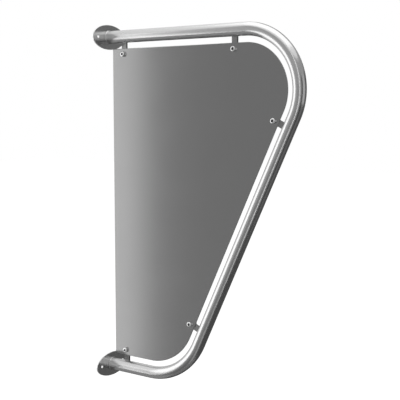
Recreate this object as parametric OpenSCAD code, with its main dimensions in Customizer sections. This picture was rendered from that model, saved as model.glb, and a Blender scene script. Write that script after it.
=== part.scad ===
// Wall-hung urinal privacy screen: a bent round tube welded to two oval wall
// plates, with a sheet metal panel screwed to five flat lugs inside the bend.
// X runs out from the wall and Z runs up. The tube's axis lies in the plane Y = 0.
// The origin is on the wall, at the centre of the lower wall plate's back face.

/* [Tube] */
// Outside diameter of the frame tube
tube_d = 25; // [20:0.5:32]
// Wall thickness of the frame tube
tube_wall = 1.5; // [1:0.1:3]

/* [Frame] */
// Height between the axes of the two level legs
leg_spacing = 675; // [600:5:750]
// Distance from the wall to the furthest point of the tube
reach = 454; // [420:1:500]
// Lean of the sloping run away from vertical, in degrees
lean = 25; // [18:0.5:28]
// Bend radius of the upper corner, measured at the tube's axis
top_bend_r = 111; // [80:1:130]
// Bend radius of the lower corner, measured at the tube's axis
bottom_bend_r = 131; // [90:1:150]

/* [Wall plates] */
// Width of a wall plate, across the panel
plate_w = 95; // [86:1:120]
// Height of a wall plate
plate_h = 49; // [40:1:70]
// Thickness of a wall plate
plate_t = 3; // [2:0.5:6]
// Diameter of the two fixing holes in a wall plate
plate_hole_d = 5.5; // [4:0.5:8]
// Distance between the two fixing holes in a wall plate
plate_hole_spacing = 65; // [56:1:70]

/* [Panel] */
// Thickness of the panel
panel_t = 2; // [1:0.25:4]
// Open gap between the tube and the panel's edge
panel_gap = 11.3; // [6:0.1:20]
// Distance from the wall to the panel's rear edge
panel_wall_gap = 12.5; // [5:0.5:25]

/* [Lugs] */
// Width of a lug, along the tube
lug_w = 12; // [10:0.5:18]
// Thickness of a lug
lug_t = 4; // [3:0.5:5]
// Distance from the panel's rear edge to the two rear lugs
rear_lug_setback = 27.5; // [20:0.5:40]
// Distance from the upper bend to the front lug on the top leg
top_lug_from_bend = 26.5; // [12:0.5:60]
// Distance from each bend to the nearer lug on the sloping run
slope_lug_from_bend = 24.5; // [12:0.5:60]
// Distance from the panel's edge to a screw's axis
screw_inset = 11; // [9:0.5:20]

/* [Screws and nuts] */
// Diameter of a screw's shank
screw_d = 6; // [5:0.5:6.5]
// Length of a screw under its head
screw_len = 16; // [14:0.5:18]
// Diameter of a screw's head
head_d = 10; // [9:0.5:12]
// Height of a screw's head
head_h = 5; // [4:0.5:8]
// Radius of the rounded rim of a screw's head
head_rim_r = 1.9; // [0.5:0.1:2]
// Width across the flats of the socket in a screw's head
socket_af = 5; // [3:0.5:6]
// Depth of the socket in a screw's head
socket_depth = 3; // [1.5:0.5:3.5]
// Outside diameter of a washer
washer_d = 12; // [10:0.5:14]
// Thickness of a washer
washer_t = 1.6; // [1:0.1:2.5]
// Width across the flats of a cap nut
nut_af = 10; // [9.5:0.5:12]
// Height of the hexagon of a cap nut
nut_hex_h = 5; // [4:0.5:6]
// Whole height of a cap nut, dome included
nut_h = 12; // [11:0.5:14]

/* [Clearances] */
// Gap around a screw in the panel and in a lug
hole_clearance = 0.3; // [0.1:0.05:0.8]
// Gap around a screw in a washer
washer_clearance = 0.2; // [0.1:0.05:0.6]
// Gap around a screw in the bore of a cap nut
thread_clearance = 0.05; // [0.02:0.01:0.1]
// Gap between a screw's tip and the bottom of a cap nut's bore
tip_clearance = 0.6; // [0.2:0.1:1]

/* [Hidden] */
$fn = 96;
tube_r = tube_d / 2;
// Cutting bodies run this far past the faces that they cut
overrun = 1;
// The wall of a bend stands this much proud of a straight run's, inside and out
bend_swell = 0.1;
// Length of straight tube that runs on inside the wall of a bend
bend_lap = 0.5;

// Bend centres and the sloping run, in the frame's own plane (X, Z)
bend_top = [reach - bend_swell - tube_r - top_bend_r, leg_spacing - top_bend_r];
bend_bottom = [bend_top.x + (top_bend_r - bottom_bend_r
        - sin(lean) * (bend_top.y - bottom_bend_r)) / cos(lean), bottom_bend_r];
slope_along = [sin(lean), cos(lean)];
slope_out = [cos(lean), -sin(lean)];
slope_top = bend_top + top_bend_r * slope_out;
slope_bottom = bend_bottom + bottom_bend_r * slope_out;
slope_len = norm(slope_top - slope_bottom);

// Panel edge, everywhere at one distance from the tube's axis
edge_offset = tube_r + panel_gap;
panel_front_y = 0;
panel_back_y = panel_front_y + panel_t;

// Stack of pieces on a screw, from the panel's front face backwards
screw_at = edge_offset + screw_inset;
lug_back_y = panel_back_y + lug_t;
washer_back_y = lug_back_y + washer_t;
nut_dome_d = 0.95 * nut_af;
nut_chamfer = 0.06 * nut_af;
screw_hole_d = screw_d + 2 * hole_clearance;

// Lug stations: [name, X and Z on the tube's axis, direction inwards in degrees]
rear_x = panel_wall_gap + rear_lug_setback;
slope_inwards = 180 - lean;
STATIONS = [
    ["top_rear", [rear_x, leg_spacing], -90],
    ["top_front", [bend_top.x - top_lug_from_bend, leg_spacing], -90],
    ["slope_upper", slope_top - slope_lug_from_bend * slope_along, slope_inwards],
    ["slope_lower", slope_bottom + slope_lug_from_bend * slope_along, slope_inwards],
    ["bottom_rear", [rear_x, 0], 90]
];

// Section of the frame tube, with this much extra on the wall's two faces
module tube_section(extra = 0) {
    difference() {
        circle(d = tube_d + 2 * extra);
        circle(d = tube_d - 2 * tube_wall - 2 * extra);
    }
}

// A straight run of tube along Z that laps into the bends at its ends, with the
// next stretch of tube at its end
module straight_run(run_len, lap_before = bend_lap, lap_after = bend_lap) {
    translate([0, 0, -lap_before])
        linear_extrude(lap_before + run_len + lap_after) tube_section();
    translate([0, 0, run_len]) children();
}

// A bend that turns the tube from Z towards -X, with the next stretch at its end
module bend(bend_r, turn) {
    translate([-bend_r, 0, 0]) {
        rotate([90, 0, 0]) rotate_extrude(angle = turn)
            translate([bend_r, 0]) tube_section(bend_swell);
        rotate([0, -turn, 0]) translate([bend_r, 0, 0]) children();
    }
}

// One length of bent tube, butted against the front faces of the wall plates
module tube_frame() {
    color("#b9bbbd") translate([plate_t, 0, leg_spacing]) rotate([180, -90, 0])
        straight_run(bend_top.x - plate_t, lap_before = 0)
        bend(top_bend_r, 90 + lean)
        straight_run(slope_len)
        bend(bottom_bend_r, 90 - lean)
        straight_run(bend_bottom.x - plate_t, lap_after = 0);
}

// Oval plate flat on the wall, centred on a leg's axis at height z: a slab cut from
// a longer oval bar
module wall_plate(z) {
    color("#77797b") translate([0, 0, z]) rotate([90, 0, 90]) difference() {
        intersection() {
            translate([0, 0, -overrun]) linear_extrude(plate_t + 2 * overrun)
                scale([plate_w, plate_h]) circle(d = 1);
            translate([-plate_w, -plate_h, 0]) cube([2 * plate_w, 2 * plate_h, plate_t]);
        }
        for (side = [-1, 1])
            translate([side * plate_hole_spacing / 2, 0, -overrun])
                cylinder(d = plate_hole_d, h = plate_t + 2 * overrun);
    }
}

// Where a station's screw crosses the frame's plane
function screw_point(s) = s[1] + screw_at * [cos(s[2]), sin(s[2])];

// Outline of the panel: straight edges with round front corners
module panel_outline() {
    top_z = leg_spacing - edge_offset;
    intersection() {
        translate([panel_wall_gap, 0]) square([reach, leg_spacing]);
        union() {
            polygon([
                [0, edge_offset], [bend_bottom.x, edge_offset],
                slope_bottom - edge_offset * slope_out, slope_top - edge_offset * slope_out,
                [bend_top.x, top_z], [0, top_z]
            ]);
            translate(bend_top) circle(r = top_bend_r - edge_offset);
            translate(bend_bottom) circle(r = bottom_bend_r - edge_offset);
        }
    }
}

// Flat sheet panel with a hole for each screw
module screen_panel() {
    color("#8c8e90") translate([0, panel_back_y, 0]) rotate([90, 0, 0]) difference() {
        linear_extrude(panel_t) panel_outline();
        for (s = STATIONS)
            translate(concat(screw_point(s), -overrun))
                cylinder(d = screw_hole_d, h = panel_t + 2 * overrun);
    }
}

// Local frame of a station: X runs from the tube's axis inwards over the panel
module at_station(s) {
    translate([s[1].x, 0, s[1].y]) rotate([0, -s[2], 0]) children();
}

// Local frame of a station's screw: Z runs backwards along the screw from front_y
module at_screw(s, front_y) {
    at_station(s) translate([screw_at, front_y, 0]) rotate([-90, 0, 0]) children();
}

// Flat lug welded to the tube's inner side, behind the panel, with a round end
module lug(s) {
    color("#a3a5a7") difference() {
        at_screw(s, panel_back_y) linear_extrude(lug_t) {
            translate([-screw_at, -lug_w / 2]) square([screw_at, lug_w]);
            circle(d = lug_w);
        }
        at_station(s) cylinder(d = tube_d, h = 2 * lug_w, center = true);
        at_screw(s, panel_back_y - overrun)
            cylinder(d = screw_hole_d, h = lug_t + 2 * overrun);
    }
}

// Cap screw with a round-rimmed head and a hexagon socket
module screw(s) {
    rim_centre = [head_d / 2 - head_rim_r, head_rim_r - head_h];
    color("#cfd1d3") at_screw(s, panel_front_y) difference() {
        rotate_extrude() polygon([
            [0, -head_h],
            for (a = [0:15:90]) rim_centre + head_rim_r * [sin(a), -cos(a)],
            [head_d / 2, 0], [screw_d / 2, 0], [screw_d / 2, screw_len], [0, screw_len]
        ]);
        translate([0, 0, -head_h - overrun])
            cylinder(d = socket_af / cos(30), h = socket_depth + overrun, $fn = 6);
    }
}

// Flat washer between a lug and its cap nut
module washer(s) {
    color("#c4c6c8") at_screw(s, lug_back_y) difference() {
        cylinder(d = washer_d, h = washer_t);
        translate([0, 0, -overrun])
            cylinder(d = screw_d + 2 * washer_clearance, h = washer_t + 2 * overrun);
    }
}

// Cap nut: a chamfered hexagon with a domed top and a blind bore
module cap_nut(s) {
    corner_r = nut_af / 2 / cos(30);
    dome_z = nut_h - nut_dome_d / 2;
    bore_depth = screw_len + panel_front_y - washer_back_y + tip_clearance;
    color("#c9cbcd") at_screw(s, washer_back_y) difference() {
        union() {
            intersection() {
                cylinder(r = corner_r, h = nut_hex_h, $fn = 6);
                rotate_extrude() polygon([
                    [0, 0], [corner_r + overrun, 0], [corner_r + overrun, nut_hex_h - nut_chamfer],
                    [nut_af / 2, nut_hex_h], [0, nut_hex_h]
                ]);
            }
            cylinder(d = nut_dome_d, h = dome_z);
            translate([0, 0, dome_z]) sphere(d = nut_dome_d);
        }
        translate([0, 0, -overrun])
            cylinder(d = screw_d + 2 * thread_clearance, h = bore_depth + overrun);
    }
}

tube_frame();
wall_plate(leg_spacing);  // upper_wall_plate
wall_plate(0);  // lower_wall_plate
screen_panel();
for (s = STATIONS) {
    lug(s);
    screw(s);
    washer(s);
    cap_nut(s);
}
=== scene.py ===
# %% [markdown]
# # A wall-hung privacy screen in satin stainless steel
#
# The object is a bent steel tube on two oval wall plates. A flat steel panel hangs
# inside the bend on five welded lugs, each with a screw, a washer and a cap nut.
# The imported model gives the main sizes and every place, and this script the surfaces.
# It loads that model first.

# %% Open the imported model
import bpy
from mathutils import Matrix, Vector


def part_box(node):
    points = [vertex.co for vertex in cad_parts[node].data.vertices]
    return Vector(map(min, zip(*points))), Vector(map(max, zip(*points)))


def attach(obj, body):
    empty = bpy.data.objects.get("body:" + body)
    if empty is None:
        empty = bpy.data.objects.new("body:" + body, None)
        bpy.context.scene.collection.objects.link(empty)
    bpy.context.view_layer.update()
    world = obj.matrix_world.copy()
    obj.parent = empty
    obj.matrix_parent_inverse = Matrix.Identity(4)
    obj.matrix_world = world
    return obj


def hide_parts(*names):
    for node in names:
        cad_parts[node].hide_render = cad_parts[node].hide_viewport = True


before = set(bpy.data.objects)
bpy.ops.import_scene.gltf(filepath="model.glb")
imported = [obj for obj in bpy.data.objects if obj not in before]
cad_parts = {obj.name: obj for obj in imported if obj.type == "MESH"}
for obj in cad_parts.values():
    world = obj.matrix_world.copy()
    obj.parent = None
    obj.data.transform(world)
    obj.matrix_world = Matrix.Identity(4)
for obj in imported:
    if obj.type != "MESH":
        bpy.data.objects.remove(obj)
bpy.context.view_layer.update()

# %% Libraries
from math import cos, pi, radians, sin

import bmesh
import bpy
from mathutils import Matrix, Vector

# %% [markdown]
# ## The camera
#
# A product picture is matched by standing where its camera stood. The place, turn
# and lens below were found by fitting the tube's outline to the picture. They come
# first, because each later choice of light is judged from here.

# %% Camera
MM = 0.001
CAMERA_PLACE = (1184.6 * MM, -1344.05 * MM, 528.33 * MM)
CAMERA_AZIMUTH = radians(35.439)
CAMERA_DOWN = radians(5.894)
CAMERA_LENS_MM = 78.149

camera_data = bpy.data.cameras.new("camera")
camera_data.lens = CAMERA_LENS_MM
camera = bpy.data.objects.new("camera", camera_data)
camera.location = CAMERA_PLACE
camera.rotation_euler = (pi / 2 - CAMERA_DOWN, 0, CAMERA_AZIMUTH)
bpy.context.scene.collection.objects.link(camera)
bpy.context.scene.camera = camera
print("camera at", tuple(camera.location), "with a lens of", camera_data.lens, "mm")

# %% [markdown]
# ## Sizes
#
# Few numbers drive the shapes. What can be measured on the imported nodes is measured,
# so that the dressed pieces can't drift from the solids. What a box doesn't tell is
# stated: the tube's radii, wall and lean here, and small sizes such as holes and
# shanks beside the piece that has them.

# %% Sizes of the frame
tube_r = 12.5 * MM
tube_wall = 1.5 * MM
lean = radians(25)
top_bend_r = 111 * MM
bottom_bend_r = 131 * MM

plate_low, plate_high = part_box("upper_wall_plate")
leg_z = (plate_low.z + plate_high.z) / 2
plate_t = plate_high.x
plate_half_w, plate_half_h = plate_high.y, plate_high.z - leg_z
tube_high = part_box("tube_frame")[1]
swell = tube_high.z - leg_z - tube_r  # the solid's bends are this much fatter
print("height between the legs:", round(leg_z / MM, 1), "mm")

# %% Bends and sloping run, as points in the plane of the frame
slope_along = Vector((-sin(lean), 0, -cos(lean)))
slope_out = Vector((cos(lean), 0, -sin(lean)))
top_centre = Vector((tube_high.x - swell - tube_r - top_bend_r, 0, leg_z - top_bend_r))
bottom_centre = Vector((
    top_centre.x + (top_bend_r - bottom_bend_r
                    - sin(lean) * (top_centre.z - bottom_bend_r)) / cos(lean),
    0, bottom_bend_r))
slope_start = top_centre + top_bend_r * slope_out
slope_end = bottom_centre + bottom_bend_r * slope_out
slope_len = (slope_end - slope_start).length
print("sloping run:", round(slope_len / MM, 1), "mm long")


# %% Lug stations: where each screw is, and which way it lies from the tube
def middle(node):
    """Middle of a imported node's box."""
    low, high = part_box(node)
    return (low + high) / 2


slope_inwards = pi - lean
STATIONS = {
    "top_rear": -pi / 2,
    "top_front": -pi / 2,
    "slope_upper": slope_inwards,
    "slope_lower": slope_inwards,
    "bottom_rear": pi / 2,
}
screw_at = leg_z - middle("screw_top_rear").z  # from the tube's axis to a screw's


def station_matrix(name, y):
    """Local X points from the tube's axis over the panel, and Y to the back."""
    inwards = Vector((cos(STATIONS[name]), 0, sin(STATIONS[name])))
    screw = middle("screw_" + name)
    origin = Vector((screw.x, y, screw.z)) - screw_at * inwards
    return Matrix.Translation(origin) @ Matrix.Rotation(-STATIONS[name], 4, "Y")


def screw_matrix(name, y):
    """Local Z runs backwards along a station's screw, from the plane at y."""
    screw = middle("screw_" + name)
    return Matrix.Translation((screw.x, y, screw.z)) @ Matrix.Rotation(-pi / 2, 4, "X")


print("screws are", round(screw_at / MM, 1), "mm from the tube's axis")

# %% [markdown]
# ## Drawing and finishing helpers
#
# Sheet parts and turned parts both start as a wire: a point that is drawn out in
# straight lines, and swung round a centre for arcs. Extrude and spin do the drawing,
# so that a round corner is a real arc whose fineness is one number. Two angles tell
# an edge that gets rounded, and one that shades as sharp, from the steps of an arc.

# %% Wires
ROUNDED_FROM = radians(35)
SHARP_FROM = radians(32)


def straight_to(bm, vert, place):
    """Draws the wire on in a straight line."""
    new = bmesh.ops.extrude_vert_indiv(bm, verts=[vert])["verts"][0]
    new.co = place
    return new


def swing(bm, vert, centre, axis, angle, steps):
    """Draws the wire on along an arc."""
    made = bmesh.ops.spin(bm, geom=[vert], cent=centre, axis=axis, angle=angle, steps=steps)
    return [v for v in made["geom_last"] if isinstance(v, bmesh.types.BMVert)][0]


def rounded(bm, width):
    """Rounds every sharp edge."""
    sharp = [e for e in bm.edges if e.is_manifold and e.calc_face_angle() > ROUNDED_FROM]
    bmesh.ops.bevel(bm, geom=sharp, offset=width, affect="EDGES", segments=2,
                    profile=0.5, material=-1, clamp_overlap=True)


# %% [markdown]
# A sheet part is laser-cut: an outline with holes in it, pushed to its thickness. A triangle fill closes
# the outline and leaves the holes open. The narrow inset band along each rim keeps the later rounding away
# from the long thin triangles. The cut faces are marked, so that they can have a material of their own,
# which on the plates and the panel paints a highlight along each rim. A turned part is a wire spun once
# round, and its doubles are merged before its faces are turned out.

# %% Sheet parts and turned parts
HOLE_SIDES = 32
BAND_TO_RIM = 3  # how many times as wide as the rounding the inset band is
MERGE_WITHIN = 0.002 * MM
EDGE_ON = 0.5  # a face that looks along the axis less than this is a cut face


def cut_sheet(bm, thickness, rim, side):
    """Fills the outlines in bm, which lie square to side, and thickens them towards it."""
    bmesh.ops.triangle_fill(bm, use_beauty=True, use_dissolve=False, edges=bm.edges[:], normal=side)
    bmesh.ops.inset_region(bm, faces=bm.faces[:], use_boundary=True, use_even_offset=True,
                           thickness=BAND_TO_RIM * rim)
    pushed = bmesh.ops.extrude_face_region(bm, geom=bm.faces[:], use_keep_orig=True)["geom"]
    bmesh.ops.translate(bm, verts=[v for v in pushed if isinstance(v, bmesh.types.BMVert)],
                        vec=thickness * side)
    bmesh.ops.recalc_face_normals(bm, faces=bm.faces[:])
    for face in bm.faces:
        face.material_index = int(abs(face.normal.dot(side)) < EDGE_ON)
    rounded(bm, rim)


def turned(bm, steps):
    """Turns the wire in bm round Z, as on a lathe."""
    bmesh.ops.spin(bm, geom=bm.verts[:] + bm.edges[:], cent=(0, 0, 0), axis=(0, 0, 1),
                   angle=2 * pi, steps=steps, use_merge=True)
    bmesh.ops.remove_doubles(bm, verts=bm.verts[:], dist=MERGE_WITHIN)
    bmesh.ops.recalc_face_normals(bm, faces=bm.faces[:])


def finished(name, bm, material, stands_for=None, marked_material=None):
    """Turns a bmesh into a piece of the screen, smooth except at its sharp edges."""
    mesh = bpy.data.meshes.new(name)
    bm.to_mesh(mesh)
    bm.free()
    mesh.shade_smooth()
    mesh.set_sharp_from_angle(angle=SHARP_FROM)
    mesh.materials.append(material)
    if marked_material:
        mesh.materials.append(marked_material)
    piece = bpy.data.objects.new(name, mesh)
    bpy.context.scene.collection.objects.link(piece)
    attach(piece, "root")
    if stands_for:
        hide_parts(stands_for)
    print(name, "has", len(mesh.polygons), "faces")
    return piece


# %% [markdown]
# ## Surface effects
#
# Satin steel shows three fine things: the grain that the belt left, a faint clouding from handling, and a
# duller stretch beside a weld, whose darkening is painted shade where the tube meets its plate. Each is a
# shader node group, built once and placed in every material that shows it.

# %% Node group helpers
def group_with(name, inputs, outputs):
    """An empty shader group with these sockets, given as (name, type, default)."""
    group = bpy.data.node_groups.new(name, "ShaderNodeTree")
    for socket, kind, default in inputs:
        made = group.interface.new_socket(socket, in_out="INPUT", socket_type=kind)
        if default is not None:
            made.default_value = default
    for socket, kind in outputs:
        group.interface.new_socket(socket, in_out="OUTPUT", socket_type=kind)
    return group, group.nodes.new("NodeGroupInput"), group.nodes.new("NodeGroupOutput")


FLOAT, VECTOR = "NodeSocketFloat", "NodeSocketVector"


# %% Grain of a belt
def belt_grain():
    """Fine streaks along X of the incoming vector, from 0 to 1."""
    group, given, made = group_with(
        "belt_grain",
        [("Vector", VECTOR, None), ("Streaks per metre", FLOAT, 2500.0), ("Length ratio", FLOAT, 60.0)],
        [("Shade", FLOAT)])
    nodes, link = group.nodes, group.links.new
    squash = nodes.new("ShaderNodeVectorMath")
    squash.operation = "DIVIDE"
    ratio = nodes.new("ShaderNodeCombineXYZ")
    ratio.inputs["Y"].default_value = ratio.inputs["Z"].default_value = 1.0
    streaks = nodes.new("ShaderNodeTexNoise")
    streaks.inputs["Detail"].default_value = 3.0
    streaks.inputs["Roughness"].default_value = 0.6
    link(given.outputs["Length ratio"], ratio.inputs["X"])
    link(given.outputs["Vector"], squash.inputs[0])
    link(ratio.outputs["Vector"], squash.inputs[1])
    link(squash.outputs["Vector"], streaks.inputs["Vector"])
    link(given.outputs["Streaks per metre"], streaks.inputs["Scale"])
    link(streaks.outputs["Fac"], made.inputs["Shade"])
    return group


# %% Clouding
def handling_clouds():
    """Broad soft patches where hands and cloths have been, from 0 to 1."""
    group, given, made = group_with(
        "handling_clouds",
        [("Vector", VECTOR, None), ("Patches per metre", FLOAT, 14.0)],
        [("Shade", FLOAT)])
    nodes, link = group.nodes, group.links.new
    patches = nodes.new("ShaderNodeTexNoise")
    patches.inputs["Detail"].default_value = 4.0
    patches.inputs["Roughness"].default_value = 0.55
    patches.inputs["Distortion"].default_value = 0.4
    link(given.outputs["Vector"], patches.inputs["Vector"])
    link(given.outputs["Patches per metre"], patches.inputs["Scale"])
    link(patches.outputs["Fac"], made.inputs["Shade"])
    return group


# %% Dull stretch and painted shade beside the wall's welds
def weld_dulling():
    """How clear of the welds at the wall a place is, from 0 beside them to 1."""
    group, given, made = group_with(
        "weld_dulling",
        [("Vector", VECTOR, None), ("Reach", FLOAT, 0.1)],
        [("Clear", FLOAT)])
    nodes, link = group.nodes, group.links.new
    parts = nodes.new("ShaderNodeSeparateXYZ")
    fade = nodes.new("ShaderNodeMapRange")
    fade.interpolation_type = "SMOOTHSTEP"
    link(given.outputs["Vector"], parts.inputs["Vector"])
    link(parts.outputs["X"], fade.inputs["Value"])
    link(given.outputs["Reach"], fade.inputs["From Max"])
    link(fade.outputs["Result"], made.inputs["Clear"])
    return group


GRAIN = belt_grain()
CLOUDS = handling_clouds()
DULLING_AND_PAINTED_SHADE = weld_dulling()
print("groups:", GRAIN.name, CLOUDS.name, DULLING_AND_PAINTED_SHADE.name)


# %% [markdown]
# One function makes every satin steel, because the pieces differ only in how bright, how smooth and how
# finely ground they are. The grain changes the roughness and the bump, and the clouds change the roughness
# a little more. The colour hardly moves, except beside a weld. There the heat and the cleaning leave it
# rougher, and a painted shade dims it where the tube meets its plate.

# %% Mixing helpers
def ranged(nodes, link, value, low, high):
    """A value from 0 to 1, spread from low to high."""
    spread = nodes.new("ShaderNodeMapRange")
    spread.inputs["To Min"].default_value = low
    spread.inputs["To Max"].default_value = high
    link(value, spread.inputs["Value"])
    return spread.outputs["Result"]


def combined(nodes, link, operation, first, second):
    """Two values added or multiplied, or the larger of them."""
    both = nodes.new("ShaderNodeMath")
    both.operation = operation
    link(first, both.inputs[0])
    link(second, both.inputs[1])
    return both.outputs["Value"]


# %% Satin steel
GRAIN_DEPTH = 0.05 * MM
GRAIN_IN_SHADE = 0.04
GRAIN_IN_ROUGHNESS = 0.03
CLOUDS_IN_ROUGHNESS = 0.02
# painted shade: the tube's colour falls to this share beside the welds at the wall
PAINTED_SHADE_BY_WELDS = 0.92
WELD_ROUGHER = 0.12


def satin_steel(name, shade, roughness, streaks, length_ratio, bump=0.02, uv=None, weld_reach=None):
    """Steel of one grey shade, ground along X of its pattern space."""
    material = bpy.data.materials.new(name)
    material.use_nodes = True
    nodes, link = material.node_tree.nodes, material.node_tree.links.new
    steel = nodes["Principled BSDF"]
    steel.inputs["Metallic"].default_value = 1.0

    on_object = nodes.new("ShaderNodeTexCoord").outputs["Object"]
    pattern = on_object
    if uv:
        unrolled = nodes.new("ShaderNodeUVMap")
        unrolled.uv_map = uv
        pattern = unrolled.outputs["UV"]
    grain = nodes.new("ShaderNodeGroup")
    grain.node_tree = GRAIN
    grain.inputs["Streaks per metre"].default_value = streaks
    grain.inputs["Length ratio"].default_value = length_ratio
    link(pattern, grain.inputs["Vector"])
    clouds = nodes.new("ShaderNodeGroup")
    clouds.node_tree = CLOUDS
    link(on_object, clouds.inputs["Vector"])

    colour = ranged(nodes, link, grain.outputs["Shade"],
                    shade * (1 - GRAIN_IN_SHADE), shade * (1 + GRAIN_IN_SHADE))
    fine = ranged(nodes, link, grain.outputs["Shade"],
                  roughness - GRAIN_IN_ROUGHNESS, roughness + GRAIN_IN_ROUGHNESS)
    broad = ranged(nodes, link, clouds.outputs["Shade"], -CLOUDS_IN_ROUGHNESS, CLOUDS_IN_ROUGHNESS)
    rough = combined(nodes, link, "ADD", fine, broad)
    if weld_reach:
        dulling = nodes.new("ShaderNodeGroup")
        dulling.node_tree = DULLING_AND_PAINTED_SHADE
        dulling.inputs["Reach"].default_value = weld_reach
        link(on_object, dulling.inputs["Vector"])
        # painted shade: the colour dims towards the welds at the wall, while the roughness rises
        darker = ranged(nodes, link, dulling.outputs["Clear"], PAINTED_SHADE_BY_WELDS, 1)
        rougher = ranged(nodes, link, dulling.outputs["Clear"], WELD_ROUGHER, 0)
        colour = combined(nodes, link, "MULTIPLY", colour, darker)
        rough = combined(nodes, link, "ADD", rough, rougher)
    link(colour, steel.inputs["Base Color"])
    link(rough, steel.inputs["Roughness"])

    relief = nodes.new("ShaderNodeBump")
    relief.inputs["Strength"].default_value = bump
    relief.inputs["Distance"].default_value = GRAIN_DEPTH
    link(grain.outputs["Shade"], relief.inputs["Height"])
    link(relief.outputs["Normal"], steel.inputs["Normal"])
    return material


# %% Each piece's steel
# the tube carries a painted shade within 110 mm of the welds at the wall
tube_steel = satin_steel("tube_steel", shade=0.62, roughness=0.20, streaks=700, length_ratio=200,
                         uv="along_and_around", weld_reach=110 * MM)
plate_steel = satin_steel("plate_steel", shade=0.78, roughness=0.19, streaks=2500, length_ratio=40)
panel_steel = satin_steel("panel_steel", shade=0.29, roughness=0.145, streaks=5000, length_ratio=80)
lug_steel = satin_steel("lug_steel", shade=0.26, roughness=0.24, streaks=3000, length_ratio=30)
weld_steel = satin_steel("weld_steel", shade=0.62, roughness=0.30, streaks=900, length_ratio=1, bump=0.2)
# painted highlight: the cut rims of the plates and the panel are lighter than their faces, the panel's
# most of all
cut_edge_painted_highlight_steel = satin_steel("cut_edge_painted_highlight_steel", shade=0.85, roughness=0.42, streaks=6000, length_ratio=4)
# painted shade: the socket's walls and floor are dark, standing for the shade inside the recess
socket_painted_shade_steel = satin_steel("socket_painted_shade_steel", shade=0.16, roughness=0.40, streaks=6000, length_ratio=4)
fastener_steel = satin_steel("fastener_steel", shade=0.90, roughness=0.14, streaks=3000, length_ratio=10)
print("steels:", [m.name for m in bpy.data.materials if m.name.endswith("_steel")])

# %% [markdown]
# ## The tube
#
# A bending machine feeds a straight tube and draws it round a die. The mesh is made
# in the same order: a ring at the upper plate, extruded along each straight run and
# spun round each bend's centre. Solidify then gives the wall its thickness.

# %% Runs and bends
RING_SIDES = 96
BEND_STEP = radians(2)


def run_on(bm, ring, travel, along):
    """Extrudes a ring of edges along a straight run."""
    made = bmesh.ops.extrude_edge_only(bm, edges=ring)["geom"]
    verts = [v for v in made if isinstance(v, bmesh.types.BMVert)]
    bmesh.ops.translate(bm, verts=verts, vec=travel)
    for vert in verts:
        vert[along] += travel.length
    return [e for e in made if isinstance(e, bmesh.types.BMEdge)]


def bend_on(bm, ring, centre, bend_r, angle, along):
    """Spins a ring of edges round a bend's centre, a step at a time."""
    steps = round(angle / BEND_STEP)
    for _ in range(steps):
        made = bmesh.ops.spin(bm, geom=ring, cent=centre, axis=(0, 1, 0), angle=angle / steps, steps=1)
        for vert in made["geom_last"]:
            if isinstance(vert, bmesh.types.BMVert):
                vert[along] += bend_r * angle / steps
        ring = [e for e in made["geom_last"] if isinstance(e, bmesh.types.BMEdge)]
    return ring


def unroll(bm, along, around):
    """Writes the two lengths as a UV map in metres, which runs on past the seam."""
    uv = bm.loops.layers.uv.new("along_and_around")
    girth = 2 * pi * tube_r
    for face in bm.faces:
        furthest = max(vert[around] for vert in face.verts)
        for loop in face.loops:
            past_seam = girth if furthest - loop.vert[around] > girth / 2 else 0
            loop[uv].uv = (loop.vert[along], loop.vert[around] + past_seam)


# %% The tube itself
def make_tube():
    """The bent tube: a ring taken along the runs and round the bends."""
    bm = bmesh.new()
    along = bm.verts.layers.float.new("along")
    around = bm.verts.layers.float.new("around")
    start = Matrix.Translation((plate_t, 0, leg_z)) @ Matrix.Rotation(pi / 2, 4, "Y")
    mouth = bmesh.ops.create_circle(bm, segments=RING_SIDES, radius=tube_r, matrix=start)["verts"]
    for step, vert in enumerate(mouth):
        vert[around] = step * 2 * pi * tube_r / RING_SIDES
    ring = run_on(bm, bm.edges[:], Vector((top_centre.x - plate_t, 0, 0)), along)
    ring = bend_on(bm, ring, top_centre, top_bend_r, pi / 2 + lean, along)
    ring = run_on(bm, ring, slope_len * slope_along, along)
    ring = bend_on(bm, ring, bottom_centre, bottom_bend_r, pi / 2 - lean, along)
    run_on(bm, ring, Vector((plate_t - bottom_centre.x, 0, 0)), along)
    bmesh.ops.recalc_face_normals(bm, faces=bm.faces[:])
    bmesh.ops.solidify(bm, geom=bm.faces[:], thickness=tube_wall)
    unroll(bm, along, around)
    print("tube is", round(max(vert[along] for vert in bm.verts) / MM), "mm long along its axis")
    return finished("tube", bm, tube_steel, "tube_frame")


make_tube()

# %% [markdown]
# ## The wall plates
#
# Each plate is an oval cut from 3 mm sheet, with a hole on each side of the tube for
# a wall screw. A stretched circle gives the oval. It is drawn lying down, and a
# matrix that swaps the axes then stands it against the wall.

# %% Wall plates
OVAL_SIDES = 128
PLATE_RIM = 0.4 * MM
PLATE_HOLE_R = 2.75 * MM
PLATE_HOLE_OUT = 32.5 * MM
FLAT_ON_WALL = Matrix(((0, 0, 1, 0), (1, 0, 0, 0), (0, 1, 0, 0), (0, 0, 0, 1)))


def make_plate(name, z):
    """An oval plate on the wall, with its two fixing holes."""
    bm = bmesh.new()
    oval = Matrix.Diagonal((plate_half_w, plate_half_h, 1, 1))
    bmesh.ops.create_circle(bm, segments=OVAL_SIDES, radius=1, matrix=oval)
    for side in (-1, 1):
        bmesh.ops.create_circle(bm, segments=HOLE_SIDES, radius=PLATE_HOLE_R,
                                matrix=Matrix.Translation((side * PLATE_HOLE_OUT, 0, 0)))
    cut_sheet(bm, plate_t, PLATE_RIM, Vector((0, 0, 1)))
    bm.transform(Matrix.Translation((0, 0, z)) @ FLAT_ON_WALL)
    return finished("plate." + name, bm, plate_steel, name + "_wall_plate", cut_edge_painted_highlight_steel)


make_plate("upper", leg_z)
make_plate("lower", 0)

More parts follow.
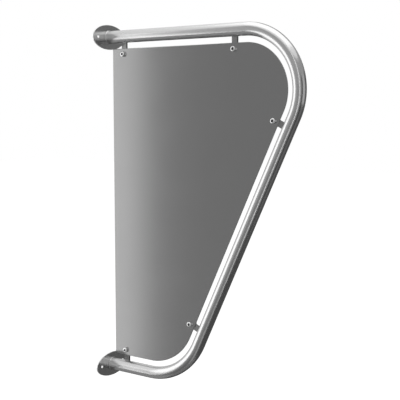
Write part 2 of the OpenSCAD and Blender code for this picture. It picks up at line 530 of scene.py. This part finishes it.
# %% [markdown]
# A weld runs round each end of the tube, where it meets its plate. It is a hollow
# fillet, so its section is two short lines and an arc that curves inwards. The weld
# has no node of its own, so it only rides with the rest.

# %% Welds round the tube's ends
WELD_LEG = 1.6 * MM
WELD_SUNK = 0.3 * MM


def make_weld(name, z):
    """The fillet round one end of the tube."""
    bm = bmesh.new()
    corner = bm.verts.new((tube_r - WELD_SUNK, 0, 0))
    pen = straight_to(bm, corner, (tube_r + WELD_LEG, 0, 0))
    pen = swing(bm, pen, (tube_r + WELD_LEG, 0, WELD_LEG), (0, 1, 0), pi / 2, steps=8)
    pen = straight_to(bm, pen, (tube_r - WELD_SUNK, 0, WELD_LEG))
    bm.edges.new((pen, corner))
    turned(bm, RING_SIDES)
    bm.transform(Matrix.Translation((plate_t, 0, z)) @ Matrix.Rotation(pi / 2, 4, "Y"))
    return finished("weld." + name, bm, weld_steel)


make_weld("upper", leg_z)
make_weld("lower", 0)

# %% [markdown]
# ## The panel
#
# The panel follows the bend of the tube at one distance all the way, and ends short
# of the wall. Its outline is drawn as a wire, with the front corners swung round the
# centres of the tube's own bends.

# %% Panel
panel_low, panel_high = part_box("screen_panel")
panel_t = panel_high.y - panel_low.y
edge_offset = leg_z - panel_high.z
SCREW_HOLE_R = 3.3 * MM
SHEET_RIM = 0.3 * MM


def make_panel():
    """The sheet inside the bend, with a hole at each lug."""
    bm = bmesh.new()
    top = leg_z - edge_offset
    back = panel_low.y
    corner = bm.verts.new((panel_low.x, back, top))
    pen = straight_to(bm, corner, (top_centre.x, back, top))
    pen = swing(bm, pen, top_centre, (0, 1, 0), pi / 2 + lean, steps=60)
    pen = straight_to(bm, pen, slope_end - edge_offset * slope_out + Vector((0, back, 0)))
    pen = swing(bm, pen, bottom_centre, (0, 1, 0), pi / 2 - lean, steps=36)
    pen = straight_to(bm, pen, (panel_low.x, back, edge_offset))
    bm.edges.new((pen, corner))
    for name in STATIONS:
        bmesh.ops.create_circle(bm, segments=HOLE_SIDES, radius=SCREW_HOLE_R,
                                matrix=screw_matrix(name, back))
    cut_sheet(bm, panel_t, SHEET_RIM, Vector((0, 1, 0)))
    return finished("panel", bm, panel_steel, "screen_panel", cut_edge_painted_highlight_steel)


make_panel()

# %% [markdown]
# ## Lugs
#
# A lug is a short flat bar with a round end, welded to the tube's inner side behind
# the panel. Its root runs a little way into the tube's wall, as a weld does. It is
# ground after cutting, so its edges have the finish of its faces.

# %% Lugs
lug_low, lug_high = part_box("lug_top_rear")
lug_t = lug_high.y - lug_low.y
lug_half_w = (lug_high.x - lug_low.x) / 2
LUG_SUNK = 1.6 * MM
LUG_ROOT = tube_r - LUG_SUNK


def make_lug(name):
    """A round-ended bar from the tube to its screw."""
    bm = bmesh.new()
    corner = bm.verts.new((LUG_ROOT, 0, -lug_half_w))
    pen = straight_to(bm, corner, (screw_at, 0, -lug_half_w))
    pen = swing(bm, pen, (screw_at, 0, 0), (0, 1, 0), -pi, steps=32)
    pen = straight_to(bm, pen, (LUG_ROOT, 0, lug_half_w))
    bm.edges.new((pen, corner))
    hole = Matrix.Translation((screw_at, 0, 0)) @ Matrix.Rotation(pi / 2, 4, "X")
    bmesh.ops.create_circle(bm, segments=HOLE_SIDES, radius=SCREW_HOLE_R, matrix=hole)
    cut_sheet(bm, lug_t, SHEET_RIM, Vector((0, 1, 0)))
    bm.transform(station_matrix(name, lug_low.y))
    return finished("lug." + name, bm, lug_steel, "lug_" + name, lug_steel)


for station in STATIONS:
    make_lug(station)

# %% [markdown]
# ## Screws, washers and cap nuts
#
# These are turned parts. Half of the section is drawn as a wire and turned round the
# axis. The ring between the screw's hexagon socket and its round face is filled, and
# the hexagon is then pushed in.

# %% Screw sizes
screw_low, screw_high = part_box("screw_top_rear")
HEAD_R = (screw_high.x - screw_low.x) / 2
HEAD_H = -screw_low.y
SHANK_R = 3 * MM
SHANK_CHAMFER = 0.6 * MM
SOCKET_HALF_AF = 2.5 * MM
SOCKET_CORNER_R = SOCKET_HALF_AF / cos(pi / 6)
SOCKET_DEPTH = 3 * MM
DRILL_POINT = 0.8 * MM
RING_ROUND_SOCKET = 0.1 * MM
HEAD_RIM_R = 1.9 * MM
TURN_STEPS = 48


# %% Hexagon socket
def push_in_socket(bm):
    """Fills the ring between the open round face and a hexagon, and pushes the hexagon in."""
    rim = [e for e in bm.edges if e.is_boundary]
    hexagon = bmesh.ops.create_circle(
        bm, segments=6, radius=SOCKET_CORNER_R, matrix=Matrix.Translation((0, 0, -HEAD_H)))["verts"]
    hex_edges = list({e for v in hexagon for e in v.link_edges})
    bmesh.ops.triangle_fill(bm, use_beauty=True, use_dissolve=False, edges=rim + hex_edges,
                            normal=(0, 0, -1))
    deep = bmesh.ops.extrude_edge_only(bm, edges=hex_edges)["geom"]
    bmesh.ops.translate(bm, verts=[v for v in deep if isinstance(v, bmesh.types.BMVert)],
                        vec=(0, 0, SOCKET_DEPTH))
    deep_edges = [e for e in deep if isinstance(e, bmesh.types.BMEdge)]
    bottom = bmesh.ops.contextual_create(bm, geom=deep_edges)["faces"]
    # the socket's walls and floor take the second material, which paints the shade of the recess
    for face in bottom + [f for e in hex_edges for f in e.link_faces if abs(f.normal.z) < EDGE_ON]:
        face.material_index = 1
    tip = bmesh.ops.poke(bm, faces=bottom)["verts"]
    bmesh.ops.translate(bm, verts=tip, vec=(0, 0, DRILL_POINT))


# %% Screws
def make_screw(name):
    """A cap screw, with its socket towards the front."""
    bm = bmesh.new()
    mouth = bm.verts.new((SOCKET_CORNER_R + RING_ROUND_SOCKET, 0, -HEAD_H))
    pen = straight_to(bm, mouth, (HEAD_R - HEAD_RIM_R, 0, -HEAD_H))
    pen = swing(bm, pen, (HEAD_R - HEAD_RIM_R, 0, HEAD_RIM_R - HEAD_H), (0, 1, 0), -pi / 2, steps=12)
    pen = straight_to(bm, pen, (HEAD_R, 0, 0))
    pen = straight_to(bm, pen, (SHANK_R, 0, 0))
    pen = straight_to(bm, pen, (SHANK_R, 0, screw_high.y - SHANK_CHAMFER))
    pen = straight_to(bm, pen, (SHANK_R - SHANK_CHAMFER, 0, screw_high.y))
    straight_to(bm, pen, (0, 0, screw_high.y))
    turned(bm, TURN_STEPS)
    push_in_socket(bm)
    bmesh.ops.recalc_face_normals(bm, faces=bm.faces[:])
    bm.transform(screw_matrix(name, 0))
    return finished("screw." + name, bm, fastener_steel, "screw_" + name, socket_painted_shade_steel)


for station in STATIONS:
    make_screw(station)

# %% [markdown]
# A flat washer sits between each lug and its cap nut. Its section is a rectangle beside
# the axis, turned once round and then rounded.

# %% Washers
washer_low, washer_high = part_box("washer_top_rear")
WASHER_R = (washer_high.x - washer_low.x) / 2
WASHER_CLEARANCE = 0.2 * MM
WASHER_BORE_R = SHANK_R + WASHER_CLEARANCE
WASHER_RIM = 0.2 * MM
washer_t = washer_high.y - washer_low.y


def make_washer(name):
    """A flat washer behind its lug."""
    bm = bmesh.new()
    corner = bm.verts.new((WASHER_BORE_R, 0, 0))
    pen = straight_to(bm, corner, (WASHER_R, 0, 0))
    pen = straight_to(bm, pen, (WASHER_R, 0, washer_t))
    pen = straight_to(bm, pen, (WASHER_BORE_R, 0, washer_t))
    bm.edges.new((pen, corner))
    turned(bm, TURN_STEPS)
    rounded(bm, WASHER_RIM)
    bm.transform(screw_matrix(name, washer_low.y))
    return finished("washer." + name, bm, fastener_steel, "washer_" + name)


for station in STATIONS:
    make_washer(station)

# %% [markdown]
# A cap nut is turned from bar, with a chamfer and a dome, and then milled six times
# for its flats. The mesh is cut the same way: a plane takes off each flat's share
# and the cut is closed.

# %% Cap nuts
nut_low, nut_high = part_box("cap_nut_top_rear")
NUT_H = nut_high.y - nut_low.y
NUT_HALF_AF = 5 * MM
NUT_CORNER_R = NUT_HALF_AF / cos(pi / 6)
NUT_HEX_H = 5 * MM
NUT_CHAMFER = 0.6 * MM
DOME_R = 4.75 * MM
NUT_BORE_R = 3.05 * MM
NUT_BORE_BEYOND_SCREW = 0.6 * MM
ON_THE_PLANE = 0.001 * MM
NUT_BORE_DEPTH = screw_high.y - nut_low.y + NUT_BORE_BEYOND_SCREW


def make_cap_nut(name):
    """A hexagon nut with a dome over the end of its bore."""
    bm = bmesh.new()
    pen = bm.verts.new((0, 0, NUT_BORE_DEPTH))
    pen = straight_to(bm, pen, (NUT_BORE_R, 0, NUT_BORE_DEPTH))
    pen = straight_to(bm, pen, (NUT_BORE_R, 0, 0))
    pen = straight_to(bm, pen, (NUT_CORNER_R, 0, 0))
    pen = straight_to(bm, pen, (NUT_CORNER_R, 0, NUT_HEX_H - NUT_CHAMFER))
    pen = straight_to(bm, pen, (NUT_HALF_AF, 0, NUT_HEX_H))
    pen = straight_to(bm, pen, (DOME_R, 0, NUT_HEX_H))
    pen = straight_to(bm, pen, (DOME_R, 0, NUT_H - DOME_R))
    swing(bm, pen, (0, 0, NUT_H - DOME_R), (0, 1, 0), -pi / 2, steps=12)
    turned(bm, TURN_STEPS)
    for flat in range(6):
        out = Vector((cos(flat * pi / 3), sin(flat * pi / 3), 0))
        cut = bmesh.ops.bisect_plane(bm, geom=bm.verts[:] + bm.edges[:] + bm.faces[:],
                                     plane_co=out * NUT_HALF_AF, plane_no=out, clear_outer=True,
                                     dist=ON_THE_PLANE)["geom_cut"]
        bmesh.ops.contextual_create(bm, geom=[e for e in cut if isinstance(e, bmesh.types.BMEdge)])
    bmesh.ops.recalc_face_normals(bm, faces=bm.faces[:])
    bm.transform(screw_matrix(name, nut_low.y))
    return finished("cap_nut." + name, bm, fastener_steel, "cap_nut_" + name)


for station in STATIONS:
    make_cap_nut(station)

# %% [markdown]
# ## Studio
#
# Smooth metal shows what stands round it, so the light is built as a studio for
# metal: large soft lamps, and grey cards between them that give the tube its dark
# lines. The cards are seen in reflections only. The background and the floor are
# white to the camera and to reflections.

# %% What a ray is for
def being_looked_at(nodes, link):
    """1 for a ray from the camera, a mirror or a glass, and 0 for one that lights a surface."""
    path = nodes.new("ShaderNodeLightPath")
    direct = combined(nodes, link, "MAXIMUM", path.outputs["Is Camera Ray"], path.outputs["Is Glossy Ray"])
    return combined(nodes, link, "MAXIMUM", direct, path.outputs["Is Transmission Ray"])


# %% World
WHITE = (1, 1, 1, 1)
AMBIENT = 0.6
world = bpy.data.worlds.new("studio")
bpy.context.scene.world = world
world.use_nodes = True
world.cycles.sampling_method = "NONE"
nodes, link = world.node_tree.nodes, world.node_tree.links.new
level = ranged(nodes, link, being_looked_at(nodes, link), AMBIENT, 1)
link(level, nodes["Background"].inputs["Strength"])
nodes["Background"].inputs["Color"].default_value = WHITE
print("world is 1 where it is seen, and lights the screen with", AMBIENT)

# %% Floor
FLOOR_Z = -1.9
FLOOR_REACH = 30
FLOOR_GREY = 0.85
FLOOR_GLOW = 0.55  # brings the pale floor up to the white of the background
floor_mesh = bpy.data.meshes.new("floor")
bm = bmesh.new()
bmesh.ops.create_grid(bm, x_segments=1, y_segments=1, size=FLOOR_REACH)
bm.transform(Matrix.Translation((0, 0, FLOOR_Z)))
bm.to_mesh(floor_mesh)
bm.free()
floor = bpy.data.objects.new("floor", floor_mesh)
bpy.context.scene.collection.objects.link(floor)
floor_paint = bpy.data.materials.new("floor_paint")
floor_paint.use_nodes = True
floor_paint.cycles.emission_sampling = "NONE"
floor_mesh.materials.append(floor_paint)
nodes, link = floor_paint.node_tree.nodes, floor_paint.node_tree.links.new
nodes["Principled BSDF"].inputs["Base Color"].default_value = (FLOOR_GREY, FLOOR_GREY, FLOOR_GREY, 1)
nodes["Principled BSDF"].inputs["Roughness"].default_value = 0.9
nodes["Principled BSDF"].inputs["Specular IOR Level"].default_value = 0.0
glow = ranged(nodes, link, being_looked_at(nodes, link), 0, FLOOR_GLOW)
link(glow, nodes["Principled BSDF"].inputs["Emission Strength"])
nodes["Principled BSDF"].inputs["Emission Color"].default_value = WHITE
print("floor is", -FLOOR_Z, "m below the lower plate")

# %% [markdown]
# Two soft lamps light the screen. The one overhead lights the tops of the level legs.
# The one on the left is as tall as a window. It is the brightest line along the
# sloping tube, and its edge gives the panel the fade from light to dark. Rays pass an
# area lamp from behind, so each has a black card at its back. A lamp's energy is
# worked out from how bright it should look in a mirror.

# %% Places round the screen
STUDIO_MIDDLE = Vector((0.227, 0, 0.337))


def towards(azimuth, elevation, distance):
    """A place round the screen, in degrees: azimuth 0 faces the panel, and 90 is out from the wall."""
    a, e = radians(azimuth), radians(elevation)
    return STUDIO_MIDDLE + distance * Vector((sin(a) * cos(e), -cos(a) * cos(e), sin(e)))


# %% A hung card
def hung_card(name, bm, brightness):
    """Hangs up a mesh as a card of one even brightness, which shows in reflections only."""
    mesh = bpy.data.meshes.new(name)
    bm.to_mesh(mesh)
    bm.free()
    sheet = bpy.data.objects.new(name, mesh)
    bpy.context.scene.collection.objects.link(sheet)
    sheet.visible_camera = sheet.visible_diffuse = sheet.visible_shadow = False
    paint = bpy.data.materials.new(name)
    paint.use_nodes = True
    nodes, link = paint.node_tree.nodes, paint.node_tree.links.new
    nodes.remove(nodes["Principled BSDF"])
    glow = nodes.new("ShaderNodeEmission")
    glow.inputs["Strength"].default_value = brightness
    link(glow.outputs["Emission"], nodes["Material Output"].inputs["Surface"])
    paint.cycles.emission_sampling = "NONE"
    mesh.materials.append(paint)
    print("card", name, "hangs at brightness", brightness)
    return sheet


# %% Softboxes
LAMP_DEPTH = 5 * MM


def softbox(name, place, looks_along, width, height, brightness):
    """A rectangular lamp with a black back, which looks this bright in a mirror."""
    data = bpy.data.lights.new(name, "AREA")
    data.shape = "RECTANGLE"
    data.size, data.size_y = width, height
    data.energy = brightness * pi * width * height
    lamp = bpy.data.objects.new(name, data)
    bpy.context.scene.collection.objects.link(lamp)
    turn = Vector(looks_along).to_track_quat("-Z", "Y")
    lamp.matrix_world = Matrix.Translation(STUDIO_MIDDLE + Vector(place)) @ turn.to_matrix().to_4x4()
    lamp.visible_camera = False
    back = bmesh.new()
    bmesh.ops.create_grid(back, x_segments=1, y_segments=1, size=0.5)
    back.transform(Matrix.Translation((0, 0, LAMP_DEPTH)) @ Matrix.Diagonal((width, height, 1, 1)))
    back.transform(lamp.matrix_world)
    hung_card(name + "_back", back, 0)
    return lamp


softbox("overhead", (0, 0, 3.0), (0, 0, -1), 3.5, 3.5, 1.65)
softbox("window", (-3.27, -2.20, 0), (1, 0, 0), 3.24, 4.2, 1.66)
print("lamps:", {lamp.name: round(lamp.energy) for lamp in bpy.data.lights}, "W")

# %% [markdown]
# The cards cover most of the rest of the sphere round the screen. Each spans some
# degrees of azimuth and elevation, and a line on the tube shows the card that it
# reflects, so a line is mended by changing its card. The narrow bright strip gives
# the sloping run its second line, which is thinner and dimmer than the lamp's.

# %% Cards
CARD_STEPS = 24
OFF_THE_FLOOR = 10 * MM
NEARLY_LEVEL = 0.01  # a card this level never comes down to the floor


def card(name, azimuths, elevations, brightness, distance=5.4):
    """A curved card that spans these angles, and runs along the floor where it meets it."""
    bm = bmesh.new()
    bmesh.ops.create_grid(bm, x_segments=CARD_STEPS, y_segments=CARD_STEPS, size=0.5)
    for vert in bm.verts:
        a = azimuths[0] + (vert.co.x + 0.5) * (azimuths[1] - azimuths[0])
        e = elevations[0] + (vert.co.y + 0.5) * (elevations[1] - elevations[0])
        out = towards(a, e, 1) - STUDIO_MIDDLE
        to_floor = (STUDIO_MIDDLE.z - FLOOR_Z - OFF_THE_FLOOR) / max(-out.z, NEARLY_LEVEL)
        vert.co = STUDIO_MIDDLE + min(distance, to_floor) * out
    return hung_card(name, bm, brightness)


card("front_left", (-41, -12), (-22, 8), 0.48, distance=5.3)
card("front_right", (-12, 29), (-14, 8), 0.36, distance=5.3)
card("front_high", (-41, 29), (8, 40), 0.47)
card("front_low", (-41, 29), (-40, -14), 0.28)
card("strip", (29, 37), (-40, 42), 1.4, distance=5.2)
card("side_front", (37, 60), (-14, 20), 0.42)
card("side_front_low", (37, 60), (-42, -14), 0.25)
card("side", (60, 84), (-14, 20), 0.12)
card("side_low", (60, 84), (-42, -14), 0.06)
card("side_high", (33, 165), (20, 42), 0.42)
card("right", (84, 125), (-14, 20), 0.57)
card("right_low", (84, 125), (-42, -14), 0.16)
card("right_back", (125, 175), (-12, 20), 0.15)
card("right_back_low", (125, 175), (-42, -12), 0.10)
card("behind", (175, 210), (-45, 20), 0.11)
card("left_back", (210, 240), (-45, -12), 0.05)
card("left_back_high", (210, 240), (-12, 30), 0.70)
card("behind_high", (165, 210), (20, 55), 0.46)
card("left_grey", (-120, -80), (-30, 36), 0.86)
card("low_left", (-120, -41), (-70, -32), 0.33)
card("low_front", (-41, 10), (-70, -40), 0.17)
card("low_strip", (10, 40), (-70, -40), 0.40)
card("low_right", (40, 180), (-70, -42), 0.09)
card("low_back", (180, 240), (-70, -45), 0.05)
card("low_middle", (-180, 180), (-90, -70), 0.21)

# %% [markdown]
# ## Close
#
# The dressed model has to stay in the imported model's box. This cell only sets the colour view to
# Standard.

# %% Close
bpy.context.scene.view_settings.view_transform = "Standard"
